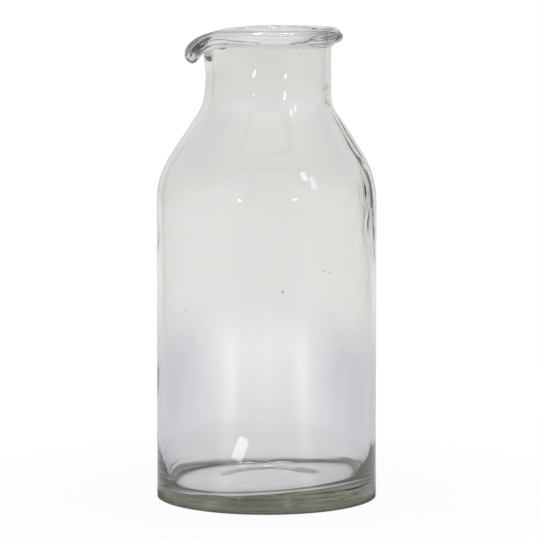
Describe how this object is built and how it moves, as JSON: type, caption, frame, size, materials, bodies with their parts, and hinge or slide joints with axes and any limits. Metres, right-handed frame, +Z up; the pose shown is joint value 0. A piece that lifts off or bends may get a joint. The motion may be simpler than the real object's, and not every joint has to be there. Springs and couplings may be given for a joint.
{
  "type": "milk jug",
  "caption": "Blown glass milk jug with a straight body, round shoulder, short neck and thick rim turned down into a pouring lip; no handle.",
  "frame": {"origin": "centre of the base, on the plane that the jug stands on", "axes": "+Z up along the jug's axis, -X towards the pouring lip"},
  "size_m": [0.11, 0.11, 0.2348],
  "materials": {
    "clear_glass": "glossy clear blown glass, faintly olive green where it is thick"
  },
  "bodies": {
    "root": {"base": "clear_glass", "body": "clear_glass", "neck": "clear_glass", "rim": "clear_glass"}
  },
  "joints": []
}
